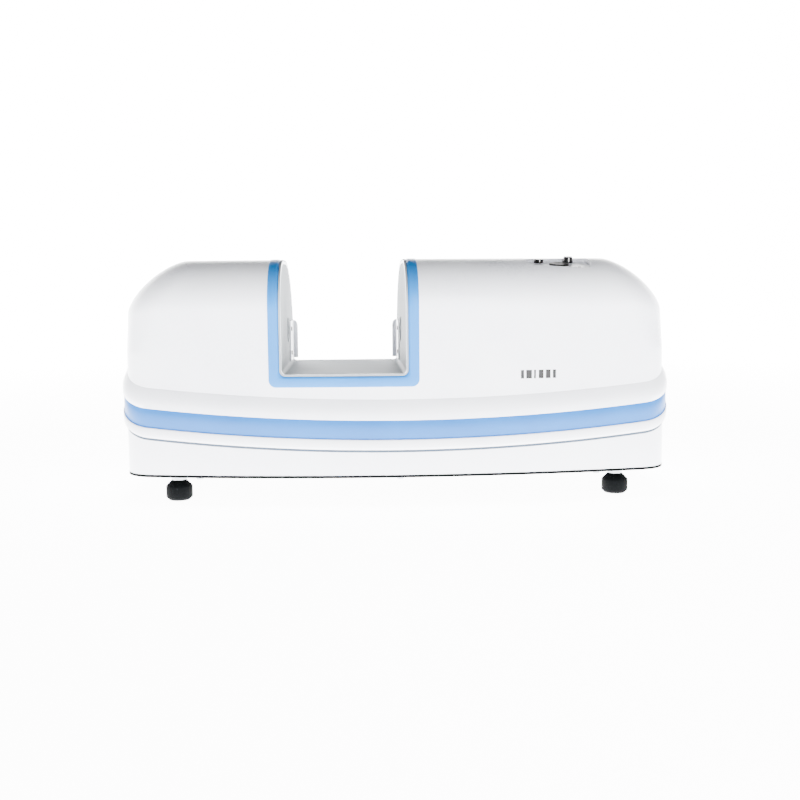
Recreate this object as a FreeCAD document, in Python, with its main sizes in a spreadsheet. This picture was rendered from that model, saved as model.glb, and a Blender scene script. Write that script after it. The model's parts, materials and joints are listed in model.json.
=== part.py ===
"""Bench lensmeter with a U-shaped lens gap between a lamp tower and a sensor tower.

Millimetres. +X runs along the case, -Y is the front, +Z is up. The origin is under the middle of the
case, on the surface that the four feet stand on.
"""

import FreeCAD, Part
import Sketcher
import math
import os

Vector = FreeCAD.Vector
doc = FreeCAD.newDocument("Lensmeter")

# ---------------------------------------------------------------- driving dimensions
sheet = doc.addObject("Spreadsheet::Sheet", "Sizes")
SIZES = [
    # case
    ("overall_width", 420.0), ("overall_depth", 178.6), ("crest_height", 181.5),
    ("base_height", 21.0), ("wall", 3.0), ("belt_proud", 4.2), ("front_bow_radius", 1000.0),
    ("case_corner", 24.0), ("base_step", -1.3), ("plate_thick", 1.5),
    ("shoulder", 113.0), ("front_shoulder", 144.0), ("end_shoulder", 141.5), ("end_power", 1.5), ("front_reach", 48.0), ("back_reach", 92.0),
    ("end_reach", 44.0),
    # belt, as heights at the middle of the front
    ("lower_rib_foot", 39.0), ("stripe_foot", 48.0), ("stripe_head", 62.3), ("upper_rib_head", 75.5),
    ("stripe_proud", 3.4), ("belt_slope", 0.52), ("belt_bend", 45.0),
    # lens gap
    ("gap_centre", -41.0), ("gap_width", 92.0), ("gap_floor", 96.5), ("liner_wall", 1.4),
    ("trim_width", 9.5), ("gap_corner", 3.0),
    # optical axis, along X
    ("axis_y", 10.0), ("axis_z", 126.0), ("port_bore", 5.0), ("port_barrel", 8.0),
    ("port_flange", 10.0), ("glass_radius", 6.5), ("lens_tube_outer", 22.0), ("lens_tube_inner", 20.0),
    # control tray, tilted towards the user
    ("tray_x", 124.0), ("tray_y", -38.0), ("tray_z", 176.7), ("tray_tilt", 10.0),
    ("tray_width", 50.0), ("tray_front", 19.0), ("tray_back", 13.0), ("tray_corner", 7.0),
    ("tray_plate", 0.8), ("button_radius", 7.6), ("button_travel", 1.2), ("knob_clearance", 0.25),
    # power entry in the rear wall
    ("entry_x", -130.0), ("entry_z", 94.0), ("entry_width", 66.0), ("entry_height", 24.0),
    ("entry_deep", 24.0), ("entry_rim", 2.0),
    ("rocker_tilt", 8.0), ("fuse_travel", 14.0),
    # feet
    ("foot_x", 168.0), ("foot_y", 55.0), ("foot_radius", 10.0), ("foot_height", 15.0),
    ("stud_radius", 3.0), ("running_fit", 0.05),
]
for row, (alias, value) in enumerate(SIZES, start=1):
    sheet.set(f"A{row}", alias)
    sheet.set(f"B{row}", str(value))
    sheet.setAlias(f"B{row}", alias)
doc.recompute()


class Dim:
    """A size with both its number and the sheet expression that gives it."""

    def __init__(self, value, text):
        self.value, self.text = float(value), text

    def __add__(self, other):
        other = dim(other)
        return Dim(self.value + other.value, f"({self.text} + {other.text})")

    def __sub__(self, other):
        other = dim(other)
        return Dim(self.value - other.value, f"({self.text} - {other.text})")

    def __mul__(self, factor):
        return Dim(self.value * factor, f"({self.text} * {factor})")

    def __truediv__(self, factor):
        return Dim(self.value / factor, f"({self.text} / {factor})")

    def __neg__(self):
        return Dim(-self.value, f"(0 - {self.text})")

    __radd__ = __add__

    def __rsub__(self, other):
        return dim(other) - self


def dim(value):
    return value if isinstance(value, Dim) else Dim(value, f"({float(value)})")


def size(alias):
    return Dim(sheet.get(alias), f"Sizes.{alias}")


def num(alias):
    return float(sheet.get(alias))


# ---------------------------------------------------------------- parametric helpers
def place(item, x, y, z):
    for axis, amount in zip("xyz", (x, y, z)):
        item.setExpression(f"Placement.Base.{axis}", dim(amount).text)


def box(corner, sizes):
    """Part::Box from its lowest corner."""
    item = doc.addObject("Part::Box", "Block")
    for name, amount in zip(("Length", "Width", "Height"), sizes):
        item.setExpression(name, dim(amount).text)
    place(item, *corner)
    return item


AXES = {"X": (Vector(0, 1, 0), 90), "Y": (Vector(1, 0, 0), -90), "Z": (Vector(0, 0, 1), 0)}


def rod(axis, start, radius, length):
    """Part::Cylinder from the middle of its first end, along +X, +Y or +Z."""
    item = doc.addObject("Part::Cylinder", "Rod")
    item.setExpression("Radius", dim(radius).text)
    item.setExpression("Height", dim(length).text)
    turn_axis, angle = AXES[axis]
    item.Placement.Rotation = FreeCAD.Rotation(turn_axis, angle)
    place(item, *start)
    return item


def fuse(items):
    if len(items) == 1:
        return items[0]
    item = doc.addObject("Part::MultiFuse", "Joined")
    item.Shapes = items
    return item


def cut(base, tools):
    item = doc.addObject("Part::Cut", "Cut")
    item.Base = base
    item.Tool = fuse(tools)
    return item


def group(items):
    """Separate solids kept as one node."""
    item = doc.addObject("Part::Compound", "Group")
    item.Links = items
    return item


def plane(body, role):
    return next(f for f in body.Origin.OriginFeatures if f.Role == role)


def draw(body, role, points):
    """A closed sketch of straight lines on one of the body's planes, each corner tied to the sheet."""
    sketch = body.newObject("Sketcher::SketchObject", "Profile")
    sketch.AttachmentSupport = [(plane(body, role), "")]
    sketch.MapMode = "FlatFace"
    corners = [(dim(u), dim(v)) for u, v in points]
    for here, there in zip(corners, corners[1:] + corners[:1]):
        ends = [Vector(u.value, v.value, 0) for u, v in (here, there)]
        sketch.addGeometry(Part.LineSegment(*ends), False)
    for index in range(len(corners)):
        sketch.addConstraint(Sketcher.Constraint("Coincident", index, 2, (index + 1) % len(corners), 1))
    for index, (u, v) in enumerate(corners):
        for kind, amount, axis in (("DistanceX", u, -2), ("DistanceY", v, -1)):
            if abs(amount.value) < 1e-9:
                sketch.addConstraint(Sketcher.Constraint("PointOnObject", index, 1, axis))
                continue
            added = sketch.addConstraint(Sketcher.Constraint(kind, -1, 1, index, 1, amount.value))
            sketch.setExpression(f"Constraints[{added}]", amount.text)
    return sketch


def new_body():
    return doc.addObject("PartDesign::Body", "Piece")


def turned(points, at=(0, 0, 0), rotation=None):
    """A PartDesign revolution about the body's Z axis. Points are (radius, height)."""
    body = new_body()
    sketch = draw(body, "XZ_Plane", points)
    feature = body.newObject("PartDesign::Revolution", "Turn")
    feature.Profile = (sketch, [""])
    feature.ReferenceAxis = (sketch, ["V_Axis"])
    feature.Angle = 360
    body.Tip = feature
    if rotation is not None:
        body.Placement.Rotation = rotation
    place(body, *at)
    return body


def padded(role, points, length, at=(0, 0, 0), rotation=None, middle=False):
    """A PartDesign pad of a straight-sided outline."""
    body = new_body()
    sketch = draw(body, role, points)
    feature = body.newObject("PartDesign::Pad", "Pad")
    feature.Profile = (sketch, [""])
    feature.setExpression("Length", dim(length).text)
    feature.Midplane = middle
    body.Tip = feature
    if rotation is not None:
        body.Placement.Rotation = rotation
    place(body, *at)
    return body


def fixed_shape(shape):
    """A shape that only Part's own functions can make."""
    item = doc.addObject("Part::Feature", "Shell")
    item.Shape = shape
    return item


NODES = []


def node(label, item):
    item.Label = label
    NODES.append(item)
    return item


# ---------------------------------------------------------------- case outlines and surfaces
COVER_HALF = num("overall_width") / 2 - num("belt_proud")
COVER_FRONT = -(num("overall_depth") / 2 - num("belt_proud"))
COVER_BACK = -COVER_FRONT
BOW = num("front_bow_radius")
WALL = num("wall")
FAR = 300.0


def outline(half, front, back, corner, height, bow=BOW):
    """Plan outline of the case: bowed front, straight sides and back, four round corners."""
    bow_y = front + bow
    front_y = bow_y - math.sqrt((bow - corner) ** 2 - (half - corner) ** 2)
    back_y = back - corner
    reach = bow / (bow - corner)
    touch_x, touch_y = (half - corner) * reach, bow_y + (front_y - bow_y) * reach
    slant = math.atan2(touch_y - front_y, touch_x - half + corner) / 2
    knee = Vector(half - corner + corner * math.cos(slant), front_y + corner * math.sin(slant), height)
    elbow = corner / math.sqrt(2)

    def at(x, y):
        return Vector(x, y, height)

    def mirrored(point):
        return Vector(-point.x, point.y, point.z)

    edges = [
        Part.Arc(at(-touch_x, touch_y), at(0, front), at(touch_x, touch_y)),
        Part.Arc(at(touch_x, touch_y), knee, at(half, front_y)),
        Part.LineSegment(at(half, front_y), at(half, back_y)),
        Part.Arc(at(half, back_y), at(half - corner + elbow, back_y + elbow), at(half - corner, back)),
        Part.LineSegment(at(half - corner, back), at(corner - half, back)),
        Part.Arc(at(corner - half, back), at(corner - half - elbow, back_y + elbow), at(-half, back_y)),
        Part.LineSegment(at(-half, back_y), at(-half, front_y)),
        Part.Arc(at(-half, front_y), mirrored(knee), at(-touch_x, touch_y)),
    ]
    return Part.Wire([edge.toShape() for edge in edges])


def case_prism(grow, foot, head):
    """Upright block on the case's outline, grown or shrunk by one amount all round."""
    wire = outline(COVER_HALF + grow, COVER_FRONT - grow, COVER_BACK + grow,
                   num("case_corner") + grow, foot, BOW + grow)
    return Part.Face(wire).extrude(Vector(0, 0, head - foot))


# The crown is a pillow: above a shoulder, the front, back and ends each draw in along a quarter ellipse.
CROWN_STEPS = 16
CORNER_SWELL = 14.0
CORNER_AT_CREST = 4.0


def drawn_in(reach, shoulder, height, power=2.0):
    share = max(0.0, (height - shoulder) / (num("crest_height") - shoulder))
    return reach * (1 - max(0.0, 1 - share ** power) ** (1 / power))


def crown_outline(height, share, skin):
    """The cover's outline at one height, share being 0 at the lowest shoulder and 1 at the crest."""
    front_in = drawn_in(num("front_reach"), num("front_shoulder"), height)
    back_in = drawn_in(num("back_reach"), num("shoulder"), height)
    end_in = drawn_in(num("end_reach"), num("end_shoulder"), height, num("end_power"))
    corner = num("case_corner") * (1 - share ** 4) + CORNER_AT_CREST * share ** 4
    corner += CORNER_SWELL * math.sin(math.pi * share) * (1 - share ** 4)
    return outline(COVER_HALF - end_in - skin, COVER_FRONT + front_in + skin,
                   COVER_BACK - back_in - skin, max(corner - skin, 1.0), height - skin * share, BOW - skin)


def crown_solid(skin):
    """The cover's outer form, or with a skin thickness the form of the space inside it."""
    shoulder, crest = num("shoulder"), num("crest_height")
    wires = []
    for step in range(CROWN_STEPS + 1):
        share = math.sin(math.pi / 2 * step / CROWN_STEPS)
        wires.append(crown_outline(shoulder + (crest - shoulder) * share, step / CROWN_STEPS, skin))
    crown = Part.makeLoft(wires, True, False, False, 3)
    return case_prism(-skin, num("base_height"), shoulder).fuse(crown).removeSplitter()


def belt_rise(y):
    """How far the belt has risen above its height at the front and back: two slopes and an arc."""
    slope, bend = num("belt_slope"), num("belt_bend")
    reach = num("overall_depth") / 2
    if abs(y) >= bend:
        return slope * (reach - abs(y))
    radius = bend / math.sin(math.atan(slope))
    return slope * (reach - bend) + math.sqrt(radius ** 2 - y ** 2) - math.sqrt(radius ** 2 - bend ** 2)


def belt_line(height):
    """Side view of a line that follows the belt over the case from front to back."""
    bend = num("belt_bend")
    stops = [Vector(-FAR, y, height + belt_rise(y)) for y in (-FAR, -bend, 0, bend, FAR)]
    return [Part.LineSegment(stops[0], stops[1]).toShape(), Part.Arc(*stops[1:4]).toShape(),
            Part.LineSegment(stops[3], stops[4]).toShape()]


def belt_band(foot, head):
    """Everything between two heights that are measured at the middle of the front."""
    lower, upper = belt_line(foot), belt_line(head)
    ends = [Part.LineSegment(lower[i].Vertexes[v].Point, upper[i].Vertexes[v].Point).toShape()
            for i, v in ((0, 0), (2, 1))]
    wire = Part.Wire(Part.__sortEdges__(lower + upper + ends))
    return Part.Face(wire).extrude(Vector(2 * FAR, 0, 0))


def gap_block(grow, corner):
    """The lens gap as a block through the case, grown sideways and downwards."""
    half = num("gap_width") / 2 + grow
    centre, floor = num("gap_centre"), num("gap_floor") - grow
    block = Part.makeBox(2 * half, 2 * FAR, FAR, Vector(centre - half, -FAR, floor))
    low_edges = [e for e in block.Edges if e.BoundBox.ZMax < floor + 1 and e.BoundBox.YLength > FAR]
    return block.makeFillet(corner, low_edges) if corner else block


def edges_near(solid, skin, height):
    """Edges of a ring that lie on an outer skin and on a surface that follows the belt."""
    found = []
    for edge in solid.Edges:
        middle = edge.valueAt((edge.FirstParameter + edge.LastParameter) / 2)
        on_line = abs(middle.z - height - belt_rise(middle.y)) < 0.05
        if on_line and skin.distToShape(Part.Vertex(middle))[0] < 0.01:
            found.append(edge)
    return found


# ---------------------------------------------------------------- case
def case_ring(grow, skin, foot, head):
    """A band of the case's wall between two lines that follow the belt."""
    block = case_prism(grow, num("base_height"), num("crest_height")).common(belt_band(foot, head))
    return block, case_prism(grow - skin, 0, num("crest_height"))


def belt_rib(foot, head, ease):
    """A rib that stands out of the case, its outer edge at one height eased off by a chamfer."""
    proud = num("belt_proud")
    block, inside = case_ring(proud, proud + 1.0, foot, head)
    sides = [f for f in case_prism(proud, 0, num("crest_height")).Faces if abs(f.normalAt(0.5, 0.5).z) < 0.5]
    height, across, along = ease
    edges = edges_near(block, Part.Compound(sides), height)
    return block.makeChamfer(across, along, edges).cut(inside)


def tray_point(u, v, w):
    """A point of the tilted control tray: across, up its slope, and out of its floor."""
    tilt = math.radians(num("tray_tilt"))
    cosine, sine = round(math.cos(tilt), 9), round(math.sin(tilt), 9)
    return (size("tray_x") + u, size("tray_y") + dim(v) * cosine - dim(w) * sine,
            size("tray_z") + dim(v) * sine + dim(w) * cosine)


TILTED = FreeCAD.Rotation(Vector(1, 0, 0), num("tray_tilt"))


def tray_block(grow, low, high, corner):
    """The tray's rounded outline as a block between two levels above its floor."""
    width, front, back = num("tray_width") / 2 + grow, num("tray_front") + grow, num("tray_back") + grow
    block = Part.makeBox(2 * width, front + back, high - low, Vector(-width, -front, low))
    block = block.makeFillet(corner, [e for e in block.Edges if e.BoundBox.ZLength > (high - low) * 0.9])
    block.Placement = FreeCAD.Placement(Vector(num("tray_x"), num("tray_y"), num("tray_z")), TILTED)
    return block


def tray_hole(u, v, radius, low, high):
    hole = Part.makeCylinder(radius, high - low, Vector(u, v, low))
    hole.Placement = FreeCAD.Placement(Vector(num("tray_x"), num("tray_y"), num("tray_z")), TILTED)
    return hole


CONTROLS = {"button": (1.6, -4.5), "small_knob": (-12.3, 6.5), "tall_knob": (10.5, 6.5)}
PAD = WALL + num("tray_plate")
NECK_HOLE = 3.2

outer = crown_solid(0)
shell = outer.cut(crown_solid(WALL))
stripe_foot, stripe_head = num("stripe_foot"), num("stripe_head")

cover = shell.common(belt_band(stripe_foot, FAR))
upper_head = num("upper_rib_head")
cover = cover.fuse(belt_rib(stripe_head, upper_head, (upper_head, 4.0, 8.5)))
cover = cover.fuse(tray_block(4.0, -PAD, 8.0, num("tray_corner")).common(outer))
cover = cover.cut(tray_block(0, -num("tray_plate"), 20.0, num("tray_corner")))
for name, (u, v) in CONTROLS.items():
    hole_radius = num("button_radius") + num("knob_clearance") if name == "button" else NECK_HOLE
    cover = cover.cut(tray_hole(u, v, hole_radius, -PAD - 4, 1))
cover = cover.cut(gap_block(num("trim_width"), num("gap_corner") + 2.5))
entry_hole = box((size("entry_x") - size("entry_width") / 2 + 2, COVER_BACK - WALL - 1,
                  size("entry_z") - size("entry_height") / 2 + 2),
                 (size("entry_width") - 4, WALL + 2, size("entry_height") - 4))
node("upper_cover", cut(fixed_shape(cover), [entry_hole]))

gap_open = gap_block(0, num("gap_corner"))
liner_block = gap_block(num("liner_wall"), num("gap_corner") + num("liner_wall"))
trim = shell.common(gap_block(num("trim_width"), num("gap_corner") + 2.5)).cut(liner_block)
node("gap_trim", fixed_shape(trim))

liner = fixed_shape(liner_block.cut(gap_open).common(outer))
GAP_LEFT = size("gap_centre") - size("gap_width") / 2
GAP_RIGHT = size("gap_centre") + size("gap_width") / 2
GUIDE_SCREW_Y, GUIDE_SCREWS_Z, SCREW_HOLE = 36.0, (106.0, 126.0), 1.05
liner_tools = [rod("X", (GAP_LEFT - 10, size("axis_y"), size("axis_z")), size("port_barrel") + 0.1,
                   size("gap_width") + 20)]
for z in GUIDE_SCREWS_Z:
    liner_tools.append(rod("X", (GAP_LEFT - 10, GUIDE_SCREW_Y, z), SCREW_HOLE, size("gap_width") + 20))
SLOT_Y, SLOT_Z, SLOT_WIDE, SLOT_TALL = 22.5, 99.8, 3.5, 7.5
liner_tools.append(box((GAP_LEFT - 4, SLOT_Y, SLOT_Z), (8, SLOT_WIDE, SLOT_TALL)))
node("gap_liner", cut(liner, liner_tools))

strip_block, strip_inside = case_ring(num("stripe_proud"), num("stripe_proud"), stripe_foot, stripe_head)
node("belt_strip", fixed_shape(strip_block.cut(strip_inside)))

# ---------------------------------------------------------------- lower shell and bottom plate
BASE_SKIN = num("base_step")
BOSS_RADIUS, BOSS_TALL, PILOT = 4.5, 12.0, 1.4
BASE_BACK = COVER_BACK - BASE_SKIN
base_block, base_inside = case_ring(-BASE_SKIN, WALL, -FAR, stripe_foot)
lower = base_block.cut(base_inside)
lower_foot = num("lower_rib_foot")
lower = lower.fuse(belt_rib(lower_foot, stripe_foot, (lower_foot, 3.0, 3.0)))


def front_wall(x, inset):
    """y of a line that stays one inset behind the bowed front of the case."""
    return COVER_FRONT + inset + BOW - math.sqrt(BOW ** 2 - x ** 2)


boss_spots = [(x, front_wall(x, BASE_SKIN + WALL + 3.8)) for x in (-150.0, 0.0, 150.0)]
boss_spots += [(x, BASE_BACK - WALL - 3.8) for x in (-60.0, 40.0, 186.0)]
for x, y in boss_spots:
    lower = lower.fuse(Part.makeCylinder(BOSS_RADIUS, BOSS_TALL, Vector(x, y, num("base_height"))))
base_shell = fixed_shape(lower)
base_tools = [rod("Z", (x, y, size("base_height") - 1), PILOT, BOSS_TALL - 1) for x, y in boss_spots]
VENT_COUNT, VENT_PITCH, VENT_WIDE, VENT_TALL = 13, 7.0, 3.0, 10.0
for index in range(VENT_COUNT):
    base_tools.append(box((60.0 + VENT_PITCH * index, BASE_BACK - WALL - 1, 25.0),
                          (VENT_WIDE, WALL + 2, VENT_TALL)))
node("lower_shell", cut(base_shell, base_tools))

PLATE_FOOT = size("base_height") - size("plate_thick")
FEET = {"front_left": (-1, -1), "front_right": (1, -1), "rear_left": (-1, 1), "rear_right": (1, 1)}
plate_prism = case_prism(-BASE_SKIN - 0.5, PLATE_FOOT.value, num("base_height"))
plate_tools = [rod("Z", (size("foot_x") * sx, size("foot_y") * sy, PLATE_FOOT - 1),
                   size("stud_radius") + 0.3, size("plate_thick") + 2) for sx, sy in FEET.values()]
plate_tools += [rod("Z", (x, y, PLATE_FOOT - 1), 1.7, size("plate_thick") + 2) for x, y in boss_spots]
for index in range(9):
    plate_tools.append(box((102.0 + 9.0 * index, -30.0, PLATE_FOOT - 1), (3.5, 50.0, size("plate_thick") + 2)))
node("bottom_plate", cut(fixed_shape(plate_prism), plate_tools))

HEAD_RADIUS, HEAD_TALL, SHANK = 2.8, 1.8, 1.35
node("bottom_screws", group([turned([(0, 0), (HEAD_RADIUS - 0.5, 0), (HEAD_RADIUS, 0.6),
                                     (HEAD_RADIUS, HEAD_TALL), (SHANK, HEAD_TALL), (SHANK, 11.0),
                                     (0, 12.0)], (x, y, PLATE_FOOT - HEAD_TALL)) for x, y in boss_spots]))

# ---------------------------------------------------------------- optical ports and rear guides
INTO_RIGHT = FreeCAD.Rotation(Vector(0, 1, 0), 90)
INTO_LEFT = FreeCAD.Rotation(Vector(0, 1, 0), -90)
GLASS_SEAT, GLASS_THICK, BARREL_LONG, FLANGE_THICK = -1.0, 2.0, 7.0, 0.8
for side, wall_x, rotation, sign in (("left", GAP_LEFT, INTO_RIGHT, 1), ("right", GAP_RIGHT, INTO_LEFT, -1)):
    at = (wall_x, size("axis_y"), size("axis_z"))
    bore, barrel, seat = size("port_bore"), size("port_barrel"), size("glass_radius") + size("running_fit")
    node(f"{side}_port_ring", turned([(bore + 0.6, FLANGE_THICK), (size("port_flange") - 0.4, FLANGE_THICK),
                                      (size("port_flange"), FLANGE_THICK / 2), (size("port_flange"), 0),
                                      (barrel, 0), (barrel, -BARREL_LONG), (seat, -BARREL_LONG),
                                      (seat, GLASS_SEAT), (bore, GLASS_SEAT), (bore, 0.2)], at, rotation))
    glass_x = wall_x + sign * GLASS_SEAT - (GLASS_THICK if sign > 0 else 0)
    node(f"{side}_window", rod("X", (glass_x, at[1], at[2]), size("glass_radius"), GLASS_THICK))

GUIDE_FRONT, GUIDE_BACK, LIP_FRONT, GUIDE_TALL, FLANGE, LIP = 28.0, 78.0, 72.0, 33.0, 1.2, 4.4
GUIDE_FOOT = size("gap_floor") + size("gap_corner")
guide_screws = []
for side, wall_x, sign in (("left", GAP_LEFT, 1), ("right", GAP_RIGHT, -1)):
    low_x = wall_x if sign > 0 else wall_x - FLANGE
    flange = box((low_x, GUIDE_FRONT, GUIDE_FOOT), (FLANGE, GUIDE_BACK - GUIDE_FRONT, GUIDE_TALL))
    lip = padded("XZ_Plane", [(0, 0), (LIP * sign, 0), (LIP * sign, GUIDE_TALL - 5),
                              (LIP * 0.85 * sign, GUIDE_TALL - 2), (LIP * 0.5 * sign, GUIDE_TALL - 0.5),
                              (0, GUIDE_TALL)], GUIDE_BACK - LIP_FRONT, (wall_x, GUIDE_BACK, GUIDE_FOOT))
    holes = [rod("X", (wall_x - 5, GUIDE_SCREW_Y, z), SCREW_HOLE, 10) for z in GUIDE_SCREWS_Z]
    node(f"{side}_rear_guide", cut(fuse([flange, lip]), holes))
    for z in GUIDE_SCREWS_Z:
        guide_screws.append(turned([(0, -4.5), (1.0, -4.5), (1.0, 0), (2.0, 0), (1.6, 0.7), (0.5, 0.7),
                                    (0.5, 0.3), (0, 0.3)], (wall_x + sign * FLANGE, GUIDE_SCREW_Y, z),
                                   INTO_RIGHT if sign > 0 else INTO_LEFT))
node("guide_screws", group(guide_screws))

# ---------------------------------------------------------------- control tray
BUTTON_PROUD, BUTTON_SKIRT, PLUNGER, PLUNGER_LONG = 1.4, 2.6, 2.0, 5.3
BOARD_DEEP, BOARD_THICK = -13.0, 1.6
tray_plate = fixed_shape(tray_block(-0.3, -num("tray_plate"), 0, num("tray_corner") - 0.3))
plate_holes = []
for name, (u, v) in CONTROLS.items():
    radius = size("button_radius") + size("knob_clearance") if name == "button" else dim(2.0)
    hole = rod("Z", tray_point(u, v, -3), radius, 6)
    hole.Placement.Rotation = TILTED
    plate_holes.append(hole)
node("control_plate", cut(tray_plate, plate_holes))

button = size("button_radius")
node("measure_button", turned([(0, -BUTTON_SKIRT - PLUNGER_LONG), (PLUNGER, -BUTTON_SKIRT - PLUNGER_LONG),
                               (PLUNGER, -BUTTON_SKIRT), (button, -BUTTON_SKIRT), (button, BUTTON_PROUD - 0.7),
                               (button - 0.25, BUTTON_PROUD - 0.25), (button - 0.8, BUTTON_PROUD),
                               (3.5, BUTTON_PROUD + 0.25), (0, BUTTON_PROUD + 0.3)],
                              tray_point(*CONTROLS["button"], 0), TILTED))

SHAFT, SHAFT_FOOT, SHAFT_HEAD, NECK, BODY_HEAD = 1.5, -11.0, 2.0, 2.6, -8.0
for name, low_radius, top_radius, tall in (("small_knob", 3.8, 3.4, 3.0), ("tall_knob", 4.2, 3.3, 4.6)):
    u, v = CONTROLS[name]
    at = tray_point(u, v, 0)
    node(name, turned([(SHAFT, 0.4), (low_radius - 0.3, 0.4), (low_radius, 0.8), (top_radius, tall - 0.6),
                       (top_radius - 0.6, tall), (0, tall), (0, SHAFT_HEAD), (SHAFT, SHAFT_HEAD)], at, TILTED))
    node(name + "_shaft", turned([(0, SHAFT_FOOT), (SHAFT, SHAFT_FOOT), (SHAFT, SHAFT_HEAD),
                                  (0, SHAFT_HEAD)], at, TILTED))
    can = box(tray_point(u - 4.5, v - 4.5, BOARD_DEEP), (9, 9, BODY_HEAD - BOARD_DEEP))
    can.Placement.Rotation = TILTED
    neck = rod("Z", tray_point(u, v, BODY_HEAD - 1), NECK, -PAD - BODY_HEAD + 3)
    well = rod("Z", tray_point(u, v, SHAFT_FOOT - 0.5), dim(SHAFT) + size("running_fit"), 14)
    neck.Placement.Rotation = TILTED
    well.Placement.Rotation = TILTED
    node(name + "_potentiometer", cut(fuse([can, neck]), [well]))

u, v = CONTROLS["button"]
switch_block = box(tray_point(u - 3, v - 3, BOARD_DEEP), (6, 6, 3.6))
switch_cap = rod("Z", tray_point(u, v, BOARD_DEEP + 3.4), 1.7, 0.4)
switch_block.Placement.Rotation = TILTED
switch_cap.Placement.Rotation = TILTED
node("button_switch", fuse([switch_block, switch_cap]))
control_board = box(tray_point(-23, -12, BOARD_DEEP - BOARD_THICK), (44, 26, BOARD_THICK))
control_board.Placement.Rotation = TILTED
node("control_board", control_board)
pillars = []
for u in (-19.0, 17.5):
    for v in (-10.0, 11.0):
        pillar = rod("Z", tray_point(u, v, BOARD_DEEP), 2.0, -PAD - BOARD_DEEP)
        pillar.Placement.Rotation = TILTED
        pillars.append(pillar)
node("board_pillars", group(pillars))

# ---------------------------------------------------------------- optical bench
axis_y, axis_z = size("axis_y"), size("axis_z")
RAIL_LEFT, RAIL_RIGHT, RAIL_FRONT, RAIL_WIDE, RAIL_FOOT, RAIL_HEAD = -150.0, 90.0, -15.0, 50.0, 76.0, 84.0
BRACKET_THICK, BRACKET_TALL, FOOT_THICK, RAIL_SCREW = 4.0, 81.0, 4.0, 2.0
LAMP_FACE, SENSOR_FACE = -128.0, 64.0
TUBE_OUT, TUBE_IN = size("lens_tube_outer"), size("lens_tube_inner")

screw_spots = [(LAMP_FACE - BRACKET_THICK - 9, y) for y in (-5.0, 25.0)]
screw_spots += [(SENSOR_FACE + BRACKET_THICK + 9, y) for y in (-5.0, 25.0)]
post_spots = [(x, y) for x in (-98.0, 82.0) for y in (-3.0, 23.0)]
rail = box((RAIL_LEFT, RAIL_FRONT, RAIL_FOOT), (RAIL_RIGHT - RAIL_LEFT, RAIL_WIDE, RAIL_HEAD - RAIL_FOOT))
node("optical_rail", cut(rail, [rod("Z", (x, y, RAIL_FOOT - 1), RAIL_SCREW, 20) for x, y in screw_spots]))
node("rail_posts", group([rod("Z", (x, y, size("base_height")), 5, RAIL_FOOT - size("base_height"))
                          for x, y in post_spots]))
node("rail_screws", group([turned([(0, -9), (RAIL_SCREW - 0.1, -9), (RAIL_SCREW - 0.1, 0), (3.5, 0),
                                   (3.5, 1.6), (2.9, 2.2), (0, 2.2)],
                                  (x, y, RAIL_HEAD + FOOT_THICK)) for x, y in screw_spots]))


def bracket(label, low_x, foot_x, hole_radius, spots):
    """An upright plate on the rail with a foot to one side and a hole on the optical axis."""
    upright = box((low_x, RAIL_FRONT, RAIL_HEAD), (BRACKET_THICK, RAIL_WIDE, BRACKET_TALL))
    foot = box((foot_x, RAIL_FRONT, RAIL_HEAD), (18.0, RAIL_WIDE, FOOT_THICK))
    tools = [rod("X", (low_x - 1, axis_y, axis_z), hole_radius, BRACKET_THICK + 2)]
    tools += [rod("Z", (x, y, RAIL_HEAD - 1), RAIL_SCREW, FOOT_THICK + 2) for x, y in spots]
    node(label, cut(fuse([upright, foot]), tools))


bracket("lamp_bracket", LAMP_FACE - BRACKET_THICK, LAMP_FACE - BRACKET_THICK - 18, 11.0, screw_spots[:2])
bracket("sensor_bracket", SENSOR_FACE, SENSOR_FACE + BRACKET_THICK, 9.0, screw_spots[2:])


def lens(label, x, radius, edge, bulge, steps=8):
    """A biconvex glass lens on the optical axis, its two faces drawn as fine chords."""
    sphere = (radius ** 2 + bulge ** 2) / (2 * bulge)
    points = []
    for sign in (-1, 1):
        stops = [radius * i / steps for i in range(steps + 1)]
        face = [(r, sign * (edge / 2 + math.sqrt(sphere ** 2 - r ** 2) - sphere + bulge)) for r in stops]
        points += face if sign < 0 else face[::-1]
    node(label, turned(points, (x, axis_y, axis_z), INTO_RIGHT))


def tube(label, left, right, seat_x, seat_deep):
    """A blackened tube on the optical axis with an inner step that seats a lens."""
    body = turned([(TUBE_IN, 0), (TUBE_OUT, 0), (TUBE_OUT, right - left), (TUBE_IN, right - left),
                   (TUBE_IN, seat_x - left + seat_deep / 2), (TUBE_IN - 2, seat_x - left + seat_deep / 2),
                   (TUBE_IN - 2, seat_x - left - seat_deep / 2), (TUBE_IN, seat_x - left - seat_deep / 2)],
                  (left, axis_y, axis_z), INTO_RIGHT)
    node(label, body)


LENS_EDGE, LENS_BULGE, STEP_WIDE = 3.0, 3.5, 2.0
tube("collimator_tube", LAMP_FACE, -98.0, -112.0, STEP_WIDE)
lens("collimator_lens", -112.0 + STEP_WIDE / 2 + LENS_EDGE / 2 + 3.0, num("lens_tube_inner"), LENS_EDGE, 3.0)
tube("objective_tube", 14.0, SENSOR_FACE, 40.0, STEP_WIDE)
lens("objective_lens", 40.0 - STEP_WIDE / 2 - LENS_EDGE / 2 - 3.0, num("lens_tube_inner"), LENS_EDGE, 3.0)

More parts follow.
